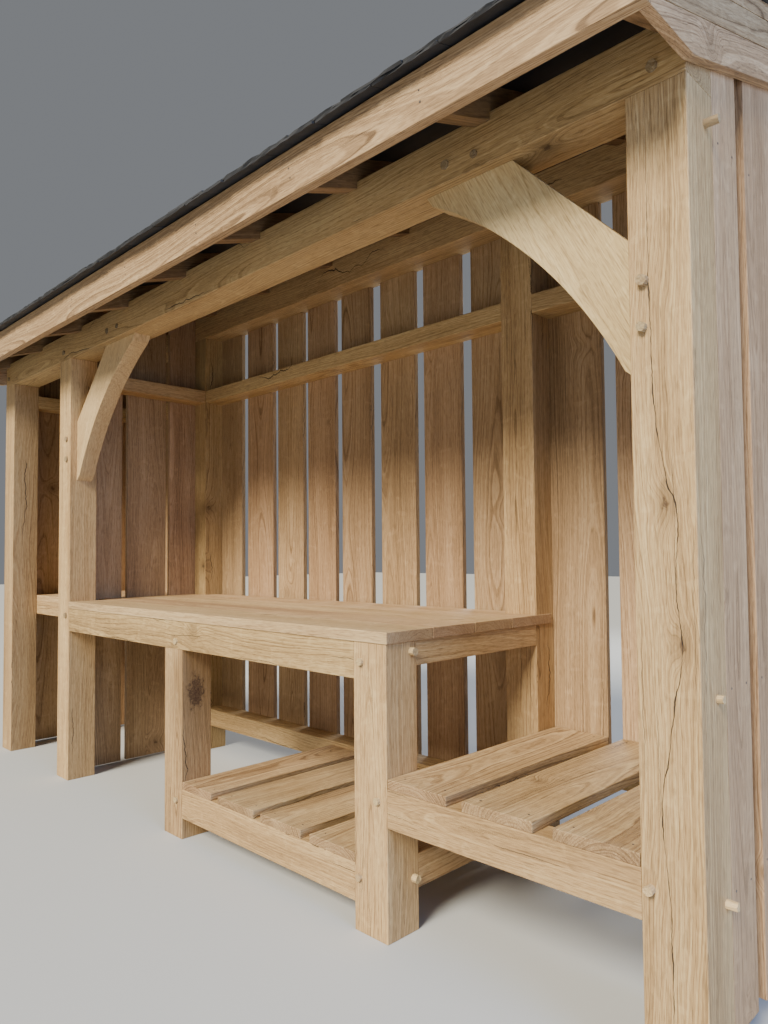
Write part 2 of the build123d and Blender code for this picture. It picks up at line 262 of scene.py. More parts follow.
def drying_checks(flat, place, seed, side):
    centred = flat - combine(0.0, side * 0.3, -CHECK_FAN)
    _, across, through = centred.split()
    along = place.split()[0]
    drift = line_noise(along * 5.0, 4.0, 0.62)
    angle = drift.times(CHECK_DRIFT, across.do("ARCTAN2", through))
    cells = put(flat.tree, "ShaderNodeTexVoronoi", {"W": angle.times(CHECKS_AROUND, seed), "Scale": 1.0},
                voronoi_dimensions="1D")
    distance = cells * (centred.do("LENGTH") / CHECKS_AROUND)
    cell = cells.other("Color").split()[0]
    opening = line_noise(along.times(1.7, cell * 60.0), 1.0)
    width = soft_step(opening, 0.57, 0.74, 0.0, CHECK_WIDTH)
    return soft_step(distance - width, 0.0003, -0.0002) * width.do("GREATER_THAN", 0.0001)


# %% [markdown]
# ### The grain group
#
# One node group puts out a mask for each mark, so every oak finish shares the same grain. The
# painted pores follow the dark lines. The open pores are for the bump, which then doesn't have
# to work out the rings again.

# %% The grain node group
HEART_SIDE, HEART_BEHIND = (0.16, -0.08), (-0.09, -0.03)


def make_grain_group():
    marks = ("Rings", "Lines", "Streak", "Fibre", "Pores", "Open pores", "Knot", "Halo", "Check", "Flecks")
    tree, given = new_tree("Oak grain", "ShaderNodeTree", {
        "Grain": "Vector", "Seed": "Float", "Wave": "Float", "Own knot": "Vector", "Second knot": "Vector",
        "Knot size": "Float"}, dict.fromkeys(marks, "Float"))
    grain, seed = given["Grain"], given["Seed"]
    flat = grain * (0.0, 1.0, 1.0)

    # Another stretch of the trunk for each timber
    place = grain + combine(seed * 91.0, seed * 47.0, seed * 23.0)
    side = chance(seed, 7.3).times(*HEART_SIDE)
    heart = combine(0.0, side, chance(seed, 3.1).times(*HEART_BEHIND))
    near = nearest_knot(grain, place, (given["Own knot"], given["Second knot"]), given["Knot size"])
    knot, halo = knot_marks(place, near)
    rings, lines = ring_marks(flat, place, seed, given["Wave"], heart, near)
    check = drying_checks(flat, place, seed, side)

    # Finer marks: broad streaks, fibres, open pores and pale rays
    streak = noise(place, (0.8, 9.0, 9.0), 3.0, 0.55)
    fibre = noise(place, (7.0, 300.0, 300.0), 3.0, 0.60)
    short = noise(place, (45.0, 260.0, 260.0), 1.0)
    fibre = soft_step(fibre.times(0.7, short * 0.3), 0.30, 0.70)
    open_pores = soft_step(noise(place, (26.0, 230.0, 230.0), 1.0), 0.53, 0.66)
    pores = open_pores * lines.times(0.45, 0.55)
    flecks = soft_step(noise(place, (34.0, 20.0, 260.0), 0.0), 0.66, 0.76)
    found = (rings, lines, streak, fibre, pores, open_pores, knot, halo, check, flecks)
    put(tree, "NodeGroupOutput", dict(zip(marks, found)))
    return tree


grain_group = make_grain_group()
print("grain nodes:", len(grain_group.nodes))

# %% [markdown]
# ## The oak finishes
#
# One function makes every oak finish, from three tones and a few strengths. It is all the same wood, but the
# worktop is planed and paler, and the rafters under the roof are painted darker and redder, as painted
# shade. End grain drinks more light, so it is darker and duller. Checks and knots are cut into the surface
# by the bump as well, because a painted crack alone looks like ink.

# %% Helpers for finishes
def new_material(name):
    material = bpy.data.materials.new(name)
    material.use_nodes = True
    return material, material.node_tree, material.node_tree.nodes["Principled BSDF"]


def attribute(tree, label, output="Fac"):
    return put(tree, "ShaderNodeAttribute", {}, output, attribute_name=label)


def mix(share, first, second, blend="MIX"):
    """Mix two colours. A plain colour is given as three numbers."""
    first, second = (c if isinstance(c, Value) else (*c, 1) for c in (first, second))
    return put(share.tree, "ShaderNodeMix", {0: share, 6: first, 7: second}, 2,
               data_type="RGBA", blend_type=blend)


def ramp(tone, *stops):
    """Colours at their places along a tone that goes from 0 to 1."""
    made = put(tone.tree, "ShaderNodeValToRGB", {0: tone})
    elements = made.socket.node.color_ramp.elements
    while len(elements) < len(stops):
        elements.new(1.0)
    for element, (place, colour) in zip(elements, stops):
        element.position = place
        element.color = (*colour, 1)
    return made


def bump(height, strength, step):
    return put(height.tree, "ShaderNodeBump", {"Strength": strength, "Distance": step, "Height": height})


# %% [markdown]
# ### The long shake
#
# One crack runs down nearly the whole front of the right post. A curve says where it lies
# across the face at each height, and noise makes it wiggle, open and close.

# %% The right post's shake and its place
post_low, post_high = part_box("front_right_post")
POST_HALF = (post_high.z - post_low.z) / 2
POST_WIDTH = post_high.x - post_low.x
# Shares of the post's height and width, from the ground up
SHAKE_LINE = ((0.0, 0.45), (0.167, 0.47), (0.272, 0.37), (0.317, 0.48), (0.380, 0.61), (0.433, 0.73),
              (0.487, 0.66), (0.562, 0.70), (0.588, 0.57), (0.618, 0.49), (0.670, 0.38), (0.759, 0.34),
              (1.0, 0.33))
SHAKE_TOP_FADE = (0.985, 0.80)
SHAKE_WIDTHS = (0.0003, 0.0020)
SKIN = 0.004


def long_shake(grain):
    along, across, through = grain.split()
    share = put(grain.tree, "ShaderNodeMapRange", {0: along, 1: -POST_HALF, 2: POST_HALF})
    curve = put(grain.tree, "ShaderNodeFloatCurve", {"Value": share})
    mapping = curve.socket.node.mapping
    points = mapping.curves[0].points
    points[0].location, points[1].location = SHAKE_LINE[0], SHAKE_LINE[-1]
    for point in SHAKE_LINE[1:-1]:
        points.new(*point)
    mapping.update()
    wiggle = noise(grain, (16.0, 0.0, 0.0), 3.0, 0.65).times(0.012, -0.006)
    middle = curve.times(POST_WIDTH, -POST_WIDTH / 2) + wiggle
    width = soft_step(noise(grain, (9.0, 0.0, 0.0), 3.0, 0.6), 0.38, 0.70, *SHAKE_WIDTHS)
    crack = soft_step((across - middle).do("ABSOLUTE") - width, 0.0005, -0.0003)
    front = through.do("ABSOLUTE").do("GREATER_THAN", POST_WIDTH / 2 - SKIN)
    return crack * (front * soft_step(share, *SHAKE_TOP_FADE))


print("post with the shake:", round(POST_HALF * 2, 3), "m high,", round(POST_WIDTH, 3), "m wide")

# %% One function for every oak finish
KNOT_BROWN = (0.055, 0.026, 0.012)
CRACK_BLACK = (0.016, 0.009, 0.005)
IRON_STAIN = (0.035, 0.020, 0.011)
END_GREY = (0.66, 0.61, 0.60)


def make_oak(name, tones, contrast=1.0, checks=1.0, knots=1.0, relief=0.55, rough=0.62, wave=1.0,
             streaks=0.8, own_knots=(NO_KNOT, NO_KNOT), knot_size=KNOT_RADIUS, shake=False,
             stained=False, end_grain=0.75):
    material, tree, shader = new_material(name)
    dark, middle, pale = tones
    grain, seed = attribute(tree, "grain", "Vector"), attribute(tree, "seed")
    mark = put(tree, "ShaderNodeGroup", {
        "Grain": grain, "Seed": seed, "Wave": wave, "Own knot": own_knots[0], "Second knot": own_knots[1],
        "Knot size": knot_size}, node_tree=grain_group).other

    # Tone: 0 is the darkest wood, 1 the palest
    tone = mark("Rings").times(0.26 * contrast, 0.5 - 0.13 * contrast)
    tone = mark("Lines").times(-0.22 * contrast, tone)
    tone = tone + mark("Streak").times(streaks, -0.45 * streaks)
    tone = tone + mark("Fibre").times(0.26, -0.12)
    tone = mark("Flecks").times(0.08, tone)
    colour = ramp(tone, (0.10, dark), (0.50, middle), (0.92, pale))

    # Each timber is a little lighter or darker, redder or yellower, than its neighbour
    shade, hue = chance(seed, 5.7).times(0.20, 0.90), chance(seed, 9.1).times(0.010, 0.495)
    colour = put(tree, "ShaderNodeHueSaturation", {"Hue": hue, "Value": shade, "Color": colour})

    # Pores, knots, end grain, stain and cracks
    colour = mix(mark("Pores") * 0.50, colour, [c * 0.75 for c in dark])
    colour = mix(mark("Halo") * (0.42 * knots), colour, [c * 0.8 for c in dark])
    colour = mix(mark("Knot") * (0.85 * knots), colour, KNOT_BROWN)
    cut = attribute(tree, "end_cut")
    colour = mix(cut * end_grain, colour, END_GREY, "MULTIPLY")
    if stained:
        colour = mix(attribute(tree, "stain") * 0.80, colour, IRON_STAIN)
    crack = mark("Check") * cut.times(-0.6 * checks, checks)
    if shake:
        crack = crack.do("MAXIMUM", long_shake(grain))
    colour = mix(crack * 0.95, colour, CRACK_BLACK)

    dull = cut.times(0.15, mark("Fibre").times(0.16, rough - 0.08))
    height = mark("Open pores").times(-0.22, mark("Fibre") * 0.40)
    height = crack.times(-2.0, mark("Knot").times(-0.9, height))
    fill(shader, {"Base Color": colour, "Roughness": dull, "Specular IOR Level": 0.32,
                  "Normal": bump(height, relief, 0.0012)})
    return material


# %% [markdown]
# ### Which wood goes where
#
# The measured record names a finish for each piece. A few timbers have a look of their own: the right post
# with its shake and two knots, the braces with their plainer figure, painted paler as painted light, the
# left leg with its big dark knot, the lively slats, and the rafters, painted darker as painted shade. The
# pegs are pale, and some have stained ends.

# %% Make the oak materials
OAK = (0.185, 0.105, 0.040), (0.415, 0.262, 0.116), (0.620, 0.442, 0.220)
BOARD_OAK = (0.165, 0.092, 0.041), (0.350, 0.218, 0.110), (0.525, 0.357, 0.202)
WORKTOP_OAK = (0.230, 0.132, 0.060), (0.450, 0.290, 0.145), (0.640, 0.455, 0.255)
TRIM_OAK = (0.140, 0.080, 0.037), (0.335, 0.214, 0.110), (0.515, 0.362, 0.205)
# Braces: the paler tones are painted light, for the brighter light the braces catch; the low contrast is
# their plainer figure
BRACE_OAK_PAINTED_LIGHT = (0.255, 0.160, 0.066), (0.485, 0.332, 0.158), (0.670, 0.510, 0.275)
SLAT_OAK = (0.165, 0.090, 0.040), (0.400, 0.255, 0.125), (0.610, 0.430, 0.235)
# Rafters: the darker, redder tones are painted shade, for the shade under the roof
RAFTER_OAK_PAINTED_SHADE = (0.110, 0.060, 0.026), (0.230, 0.135, 0.062), (0.360, 0.225, 0.115)
PEG_OAK = (0.300, 0.195, 0.092), (0.520, 0.370, 0.190), (0.700, 0.540, 0.310)
RIGHT_POST_KNOTS = ((0.157, 0.002, -0.072), (-0.146, 0.032, -0.072))
LEFT_LEG_KNOT = (0.201, 0.072, -0.004)

oak = {
    "oak_frame": make_oak("oak_frame", OAK, contrast=0.85),
    "oak_boards": make_oak("oak_boards", BOARD_OAK, checks=0.6, wave=0.45),
    "oak_worktop": make_oak("oak_worktop", WORKTOP_OAK, contrast=0.75, checks=0.4, relief=0.40, rough=0.55),
    "oak_trim": make_oak("oak_trim", TRIM_OAK, contrast=1.25, checks=0.4, knots=0.8, wave=0.5, streaks=0.45),
}
special = {
    "front_right_post": make_oak("oak_right_post", OAK, contrast=1.10, checks=0.6, wave=1.5,
                                 own_knots=RIGHT_POST_KNOTS, shake=True),
    # The braces get the paler tones of painted light
    "right_brace": make_oak("oak_brace_painted_light", BRACE_OAK_PAINTED_LIGHT, contrast=0.55, checks=0.2, wave=1.4, streaks=0.5),
    "bench_left_leg": make_oak("oak_left_leg", OAK, own_knots=(LEFT_LEG_KNOT, NO_KNOT), knots=1.1,
                               knot_size=0.050),
    "left_shelf_slats": make_oak("oak_slats", SLAT_OAK, contrast=1.25, checks=0.9, relief=0.50, rough=0.60,
                                 wave=0.7, streaks=1.1),
    # The rafters get the darker tones of painted shade
    "rafters": make_oak("oak_rafters_painted_shade", RAFTER_OAK_PAINTED_SHADE),
}
special["right_shelf_slats"] = special["left_shelf_slats"]
special["left_brace"] = special["right_brace"]
peg_oak = make_oak("oak_pegs", PEG_OAK, contrast=0.5, checks=0.0, knots=0.0, stained=True, end_grain=0.0)
print("oak finishes:", ", ".join([*oak, *special, "pegs"]))

# %% [markdown]
# ## Slate, membrane and iron
#
# Slate is split, not sawn, so its face is a set of shallow steps, and its broken edges are
# paler than its faces. Under the battens lies a black roofing membrane, which shows between
# the rafters. The nails are plain iron, dulled by the tannin in the oak.

# %% Make the slate, membrane and iron materials
SLATE_DARK, SLATE_PALE = (0.010, 0.011, 0.014), (0.040, 0.042, 0.048)
SLATE_BROKEN = (0.026, 0.025, 0.025)
SLATE_STEPS = 9.0
MEMBRANE_BLACKS = (0.002, 0.003, 0.006), (0.008, 0.010, 0.017)
IRON_GREYS = (0.05, 0.05, 0.055), (0.16, 0.13, 0.11)


def own_place(tree):
    return put(tree, "ShaderNodeTexCoord", {}, "Object")


def make_slate():
    material, tree, shader = new_material("slate")
    seed = attribute(tree, "seed")
    place = own_place(tree) + combine(seed * 31.0, seed * 17.0)
    cloud = noise(place, (5.0, 3.0, 5.0), 3.0)
    fine = noise(place, (60.0, 45.0, 60.0), 3.0, 0.65)
    steps = (noise(place, (9.0, 4.0, 9.0), 1.0) * SLATE_STEPS).do("FLOOR") / SLATE_STEPS
    colour = ramp(cloud.times(0.6, fine * 0.4), (0.25, SLATE_DARK), (0.80, SLATE_PALE))
    shade = chance(seed, 5.7).times(0.7, 0.65)
    colour = put(tree, "ShaderNodeHueSaturation", {"Value": shade, "Color": colour})
    edge = attribute(tree, "edge") * fine.times(0.7, 0.1)
    fill(shader, {"Base Color": mix(edge, colour, SLATE_BROKEN),
                  "Roughness": edge.times(0.38, fine.times(0.3, 0.45)),
                  "Normal": bump(steps.times(1.4, fine * 0.35), 0.6, 0.0015)})
    return material


def make_membrane():
    material, tree, shader = new_material("roof_membrane")
    place = own_place(tree)
    weave = noise(place, (420.0, 420.0, 420.0), 1.0)
    creases = noise(place, (3.0, 9.0, 9.0))
    fill(shader, {"Base Color": mix(weave, *MEMBRANE_BLACKS), "Roughness": creases.times(0.3, 0.5),
                  "Normal": bump(creases.times(3.0, weave * 0.15), 0.6, 0.003)})
    return material


def make_iron():
    material, tree, shader = new_material("nail_iron")
    rust = noise(own_place(tree), (300.0, 300.0, 300.0))
    fill(shader, {"Base Color": mix(rust, *IRON_GREYS), "Roughness": rust.times(0.4, 0.35), "Metallic": 0.7})
    return material


slate, membrane, iron = make_slate(), make_membrane(), make_iron()
print("other finishes:", slate.name, membrane.name, iron.name)

# %% [markdown]
# ## Finding the timbers in the measured model
#
# A measured piece such as the back boards is one mesh of several timbers. They do not touch, so
# each is an island of connected faces, made whole by merging its doubled corners. Its longest
# side gives the direction of the grain, the next one the width, and the last one the
# thickness. Sloping timbers and braces follow the roof's slope and the brace's lean.

# %% Islands and directions
BARGES = ("left_barge", "right_barge")
SLOPING = ("rafters",) + BARGES
BRACE_LEAN = 0.55


def merged_copy(source):
    mesh = bmesh.new()
    mesh.from_mesh(source.data)
    bmesh.ops.remove_doubles(mesh, verts=mesh.verts, dist=1e-5)
    bmesh.ops.dissolve_limit(mesh, angle_limit=math.radians(0.5), verts=mesh.verts, edges=mesh.edges)
    return mesh


def islands(mesh):
    left = mesh.verts[:]
    while left:
        found, queue = {left[0]}, [left[0]]
        while queue:
            for edge in queue.pop().link_edges:
                for other in edge.verts:
                    if other not in found:
                        found.add(other)
                        queue.append(other)
        left = [v for v in left if v not in found]
        yield sorted(found, key=lambda v: v.index)


def roof_direction():
    """The unit vector up the slope, from the long edges of a barge board."""
    mesh = merged_copy(nodes["right_barge"])
    longest = max(mesh.edges, key=lambda e: e.calc_length())
    way = (longest.verts[1].co - longest.verts[0].co).normalized()
    mesh.free()
    return way if way.y > 0 else -way


def own_axes(corners, name):
    """Grain, width and thickness directions of one timber, from its corners."""
    if name in SLOPING:
        return [up_slope, up_slope.cross(Vector((1, 0, 0))).normalized(), Vector((1, 0, 0))]
    if name.endswith("_brace"):
        lean = Vector((BRACE_LEAN if name.startswith("left") else -BRACE_LEAN, 0, 1)).normalized()
        return [lean, Vector((0, 1, 0)).cross(lean), Vector((0, 1, 0))]
    spans = [max(c[i] for c in corners) - min(c[i] for c in corners) for i in range(3)]
    order = sorted(range(3), key=lambda i: -round(spans[i], 3))
    return [Vector([1.0 if i == k else 0.0 for i in range(3)]) for k in order]


up_slope = roof_direction()
pitch = math.atan2(up_slope.z, up_slope.y)
print("roof pitch in degrees:", round(math.degrees(pitch), 2))

# %% [markdown]
# A square timber is fully described by its centre and three half sizes. Anything else, such as
# a brace or a notched rafter, keeps its own mesh. Each barge board is three boards end to end,
# so its mesh is sawn twice before it is read.

# %% Read the timbers
BARGE_JOINT_PLACES = (Vector((0, 0.047, 2.438)), Vector((0, 0.054, 2.516)))
BARGE_JOINT = 0.0016
SAME_CORNER = 1e-4
rng = random.Random(11)


def saw_at(place, mesh):
    """Saw a barge board into two closed boards, with a gap as wide as a tight joint."""
    square = up_slope.cross(Vector((-1, 0, 0)))
    for side in (-1, 1):
        everything = mesh.verts[:] + mesh.edges[:] + mesh.faces[:]
        cut = place + square * side * BARGE_JOINT / 2
        bmesh.ops.bisect_plane(mesh, geom=everything, plane_co=cut, plane_no=square)
    between = [f for f in mesh.faces
               if abs((f.calc_center_median() - place).dot(square)) < BARGE_JOINT * 0.49]
    bmesh.ops.delete(mesh, geom=between, context="FACES")
    bmesh.ops.holes_fill(mesh, edges=[e for e in mesh.edges if e.is_boundary], sides=0)
    bmesh.ops.recalc_face_normals(mesh, faces=mesh.faces)


def read_timbers(name):
    """Square timbers as (centre, half sizes, axes, seed), and a mesh of the other ones."""
    mesh = merged_copy(nodes[name])
    if name in BARGES:
        for place in BARGE_JOINT_PLACES:
            saw_at(place, mesh)
    tag = mesh.verts.layers.int.new("timber")
    mesh.verts.index_update()
    square, shaped = [], []
    for verts in islands(mesh):
        corners = [v.co.copy() for v in verts]
        axes = own_axes(corners, name)
        spans = [(min(c.dot(a) for c in corners), max(c.dot(a) for c in corners)) for a in axes]
        centre = sum((a * (lo + hi) / 2 for a, (lo, hi) in zip(axes, spans)), Vector())
        seed = (shaped[-1][3] + 0.37) % 1.0 if name in BARGES and shaped else rng.random()
        timber = (centre, [(hi - lo) / 2 for lo, hi in spans], axes, seed)
        if len(verts) == 8 and name not in SLOPING and all(
                min(abs(c.dot(a) - lo), abs(c.dot(a) - hi)) < SAME_CORNER
                for c in corners for a, (lo, hi) in zip(axes, spans)):
            square.append(timber)
        else:
            shaped.append(timber)
            for vert in verts:
                vert[tag] = len(shaped)
    return mesh, square, shaped


# %% [markdown]
# ## Short names for Geometry Nodes
#
# Timbers, slates and pegs each repeat one shape at many places. Their Geometry Nodes trees put
# the shape on points, make the result a real mesh, move its points by a rule and give it a
# finish. These helpers are the steps that the trees share, and the last one runs a tree.

# %% Helpers for geometry trees
SCRATCH = ("unit", "half", "centre", "along", "across", "through", "rim", "tilt", "aim", "seat", "stick",
           "wide")


def read(tree, label, kind="FLOAT_VECTOR"):
    return put(tree, "GeometryNodeInputNamedAttribute", {"Name": label}, "Attribute", data_type=kind)


def store(geometry, label, value, domain="POINT"):
    return put(geometry.tree, "GeometryNodeStoreNamedAttribute", {
        "Geometry": geometry, "Name": label, "Value": value},
        data_type="FLOAT_VECTOR" if value.vector else "FLOAT", domain=domain)


def move(geometry, **how):
    """Move the points by an Offset or to a Position."""
    return put(geometry.tree, "GeometryNodeSetPosition", {"Geometry": geometry, **how})


def place_on(points, shape, **how):
    """Put a shape on each point and make the result a real mesh."""
    placed = put(points.tree, "GeometryNodeInstanceOnPoints", {"Points": points, "Instance": shape, **how})
    return put(points.tree, "GeometryNodeRealizeInstances", {"Geometry": placed})


def geometry_tree(name, **inputs):
    """A tree that takes points and a finish, with its inputs and its points."""
    sockets = {"Geometry": "Geometry", **inputs, "Material": "Material"}
    tree, given = new_tree(name, "GeometryNodeTree", sockets, {"Geometry": "Geometry"})
    return tree, given, put(tree, "GeometryNodeMeshToPoints", {"Mesh": given["Geometry"]})


def end_tree(solid, given):
    painted = put(solid.tree, "GeometryNodeSetMaterial", {"Geometry": solid, "Material": given["Material"]})
    put(solid.tree, "NodeGroupOutput", {"Geometry": painted})
    return solid.tree


# %% Run a tree
def new_object(name, data):
    obj = bpy.data.objects.new(name, data)
    bpy.context.scene.collection.objects.link(obj)
    return obj


def write_attribute(mesh, label, values, domain="POINT"):
    """Write one number or one vector for each point or face."""
    values = np.array(values, np.float32)
    kind, key = ("FLOAT", "value") if values.ndim == 1 else ("FLOAT_VECTOR", "vector")
    mesh.attributes.new(label, kind, domain).data.foreach_set(key, values.ravel())


def run_tree(name, points, attributes, tree, inputs):
    """Feed points with attributes to a tree and return its result as a plain mesh."""
    mesh = bpy.data.meshes.new(name + "_points")
    mesh.from_pydata([tuple(p) for p in points], [], [])
    for label, values in attributes.items():
        write_attribute(mesh, label, values)
    seat = new_object(name + "_points", mesh)
    modifier = seat.modifiers.new("nodes", "NODES")
    modifier.node_group = tree
    for item in tree.interface.items_tree:
        if item.in_out == "INPUT" and item.name in inputs:
            modifier[item.identifier] = inputs[item.name]
    bpy.context.view_layer.update()
    evaluated = seat.evaluated_get(bpy.context.evaluated_depsgraph_get())
    result = bpy.data.meshes.new_from_object(evaluated)
    seat.modifiers.remove(modifier)
    bpy.data.objects.remove(seat)
    for label in SCRATCH:
        if label in result.attributes:
            result.attributes.remove(result.attributes[label])
    return result


# %% [markdown]
# ## A chamfered timber that does not stretch
#
# If one bevelled block were scaled to each timber, its bevel would grow with it. Instead the
# tree starts from a plain block with four rows of points on each axis and moves every point by
# a rule. The outer rows go to the full half size, the inner rows stop one arris short of it,
# and points on an edge or a corner are drawn in a little. The arris is then the same on a 2 m
# post and a 0.2 m slat. The same tree writes the grain coordinate.

# %% Geometry Nodes: square timbers
ARRIS = 0.0022
DRAWN_IN = 0.29
AXES = ("along", "across", "through")


def make_timber_tree():
    tree, given, points = geometry_tree("Square timbers", Arris="Float")
    block = put(tree, "GeometryNodeMeshCube", {
        "Size": (2, 2, 2), "Vertices X": 4, "Vertices Y": 4, "Vertices Z": 4})
    solid = place_on(points, store(block, "unit", put(tree, "GeometryNodeInputPosition")))
    unit, half = read(tree, "unit").split(), read(tree, "half").split()
    outer = [part.do("ABSOLUTE").do("GREATER_THAN", 0.9) for part in unit]
    local = []
    for i in range(3):
        others = outer[(i + 1) % 3] + outer[(i + 2) % 3]
        drawn_in = others.do("MINIMUM", 1.5) * DRAWN_IN * outer[i]
        inner_row = outer[i].times(-1.0, 1.0)
        reach = half[i] - (drawn_in + inner_row) * given["Arris"]
        local.append(unit[i].do("SIGN") * reach)
    solid = store(solid, "grain", combine(*local))
    place = read(tree, "centre")
    for label, distance in zip(AXES, local):
        place = place + read(tree, label) * distance
    return end_tree(move(solid, Position=place), given)


def square_mesh(name, square, material):
    centres, halves, axes, seeds = zip(*square)
    attributes = {"centre": centres, "half": halves, "seed": seeds, **dict(zip(AXES, zip(*axes)))}
    return run_tree(name, centres, attributes, timber_tree, {"Arris": ARRIS, "Material": material})


timber_tree = make_timber_tree()
print("nodes in the timber tree:", len(timber_tree.nodes))

# %% [markdown]
# ## Braces, barge boards and notched rafters
#
# These shapes are not square, so a copy of the measured mesh gets a real bevel along its sharp
# edges, and the same attributes as the square timbers. End grain is marked on all of them: a
# face that looks along the grain coordinate is a cut end.

# %% Bevel and label the shaped timbers
SHARP = math.radians(25)
LOOKS_ALONG = 0.6


def shaped_mesh(name, mesh, shaped):
    tag = mesh.verts.layers.int["timber"]
    bmesh.ops.delete(mesh, geom=[v for v in mesh.verts if v[tag] == 0], context="VERTS")
    sharp = [e for e in mesh.edges if len(e.link_faces) == 2 and e.calc_face_angle() > SHARP]
    bmesh.ops.bevel(mesh, geom=sharp, offset=ARRIS, segments=2, affect="EDGES", profile=0.7,
                    clamp_overlap=True)
    bmesh.ops.triangulate(mesh, faces=[f for f in mesh.faces if len(f.verts) > 4])
    grain, seeds = [], []
    for vert in mesh.verts:
        centre, _, axes, seed = shaped[vert[tag] - 1]
        grain.append([(vert.co - centre).dot(a) for a in axes])
        seeds.append(seed)
    result = bpy.data.meshes.new(name)
    mesh.to_mesh(result)
    result.attributes.remove(result.attributes["timber"])
    write_attribute(result, "grain", grain)
    write_attribute(result, "seed", seeds)
    return result


def mark_end_cuts(mesh):
    """Mark the faces that look along the grain."""
    grain = np.zeros(len(mesh.vertices) * 3, np.float32)
    mesh.attributes["grain"].data.foreach_get("vector", grain)
    grain = grain.reshape(-1, 3)
    cut = []
    for face in mesh.polygons:
        around = grain[list(face.vertices)].astype(float)
        normal = np.cross(around, np.roll(around, -1, axis=0)).sum(axis=0)
        size = np.linalg.norm(normal)
        cut.append(1.0 if size > 0 and abs(normal[0]) / size > LOOKS_ALONG else 0.0)
    write_attribute(mesh, "end_cut", cut, "FACE")


# %% [markdown]
# ## Dress every timber
#
# The finish is read from the measured record: each piece names a material slot there. The
# loop joins the square and the shaped timbers of one piece, gives them the finish, and puts
# the new piece in place of the plain one.

# %% Build the oak pieces
NOT_OAK = ("roof_deck", "roof_slates")
slot_of = {entry["node"]: entry["material_slot"] for entry in frame["record"]["subparts"]}


def add_piece(name, mesh, slot_name, *replaced):
    """Put a mesh in the scene, in place of the plain pieces that it replaces."""
    piece = new_object(name, mesh)
    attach(piece, "root")
    if replaced:
        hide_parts(*replaced)


def dress(name):
    mesh, square, shaped = read_timbers(name)
    material = special.get(name) or oak[slot_of[name]]
    meshes = [square_mesh(name, square, material)] if square else []
    if shaped:
        meshes.append(shaped_mesh(name, mesh, shaped))
    mesh.free()
    whole = bmesh.new()
    for part in meshes:
        whole.from_mesh(part)
    result = bpy.data.meshes.new(name + "_sawn")
    whole.to_mesh(result)
    whole.free()
    result.materials.append(material)
    mark_end_cuts(result)
    add_piece(name + "_sawn", result, slot_of[name], name)
    return len(square), len(shaped)


counts = [dress(name) for name in sorted(nodes) if name not in NOT_OAK]
print("square timbers:", sum(c[0] for c in counts), "shaped timbers:", sum(c[1] for c in counts))

# %% [markdown]
# ## The roofing membrane
#
# The black sheet under the slates shows in the shade between the rafters. Its measured slab is
# already the right shape, so it stays and only gets a finish.

# %% Finish the membrane
deck = nodes["roof_deck"].data
deck.materials.clear()
deck.materials.append(membrane)
print("membrane faces:", len(deck.polygons))

# %% [markdown]
# ## Slates
#
# Slates are laid from the eaves up, each course covering the joints of the one below. Each
# slate's head rests on the roof and its tail on the course below, so it lies a little flatter
# than the roof. Random numbers turn, lift and trim each slate by a few millimetres, as a
# hand-cut slate differs from its neighbour.
#
# A field, such as the place of a point, is worked out again at each step that reads it. So one
# x, y and z serve for a single slate and for the whole roof, where points past an edge are
# brought back to it. That cuts the slates at the verges and at both eaves.

# %% Geometry Nodes: slates
SLATE_TURN = 0.006
CHIPS = (-0.0012, -0.0030, -0.0006), (0.0012, 0.0030, 0.0)
TAIL_ROW = 0.004


def random_value(low, high, seed, number):
    """A random number or vector for each item, by the item's own number."""
    first, last, output, kind = (0, 1, 0, "FLOAT_VECTOR") if isinstance(low, tuple) else (2, 3, 1, "FLOAT")
    return put(number.tree, "FunctionNodeRandomValue", {first: low, last: high, "ID": number, "Seed": seed},
               output, data_type=kind)


def make_slate_tree():
    tree, given, points = geometry_tree(
        "Slates", **dict.fromkeys(("Width", "Length", "Thickness", "Gap", "Half span", "Front limit",
                                   "Back limit"), "Float"), Seed="Int")
    x, y, z = put(tree, "GeometryNodeInputPosition").split()
    number = put(tree, "GeometryNodeInputIndex")

    # A thin sheet whose head lies at the point, with its rim and its broken edges marked
    size = combine(given["Width"] - given["Gap"], given["Length"], given["Thickness"])
    sheet = put(tree, "GeometryNodeMeshCube", {
        "Size": size, "Vertices X": 9, "Vertices Y": 4, "Vertices Z": 2})
    sheet = move(sheet, Offset=combine(0.0, given["Length"] * 0.5, given["Thickness"] * 0.5))
    side_rim = x.do("ABSOLUTE").do("GREATER_THAN", given["Width"] * 0.48)
    sheet = store(sheet, "rim", side_rim.do("MAXIMUM", y.do("LESS_THAN", TAIL_ROW)))
    lie = put(tree, "GeometryNodeInputNormal").split()[2]
    sheet = store(sheet, "edge", lie.do("ABSOLUTE").do("LESS_THAN", 0.5), "FACE")

    # One slate on each point, turned to the slope by the point's own tilt
    points = store(points, "seed", random_value(0.0, 1.0, given["Seed"], number))
    turn = random_value(-SLATE_TURN, SLATE_TURN, given["Seed"] + 1.0, number)
    solid = place_on(points, sheet, Rotation=combine(read(tree, "tilt", "FLOAT"), 0.0, turn))
    chips = random_value(*CHIPS, given["Seed"], number)
    solid = move(solid, Offset=chips * read(tree, "rim", "FLOAT"))

    # Cut at the verges and at both eaves
    side = x.do("MINIMUM", given["Half span"]).do("MAXIMUM", given["Half span"] * -1.0)
    depth = y.do("MINIMUM", given["Back limit"]).do("MAXIMUM", given["Front limit"])
    drop = (y - depth) * math.tan(pitch)
    return end_tree(move(solid, Position=combine(side, depth, z - drop)), given)


slate_tree = make_slate_tree()
print("nodes in the slate tree:", len(slate_tree.nodes))

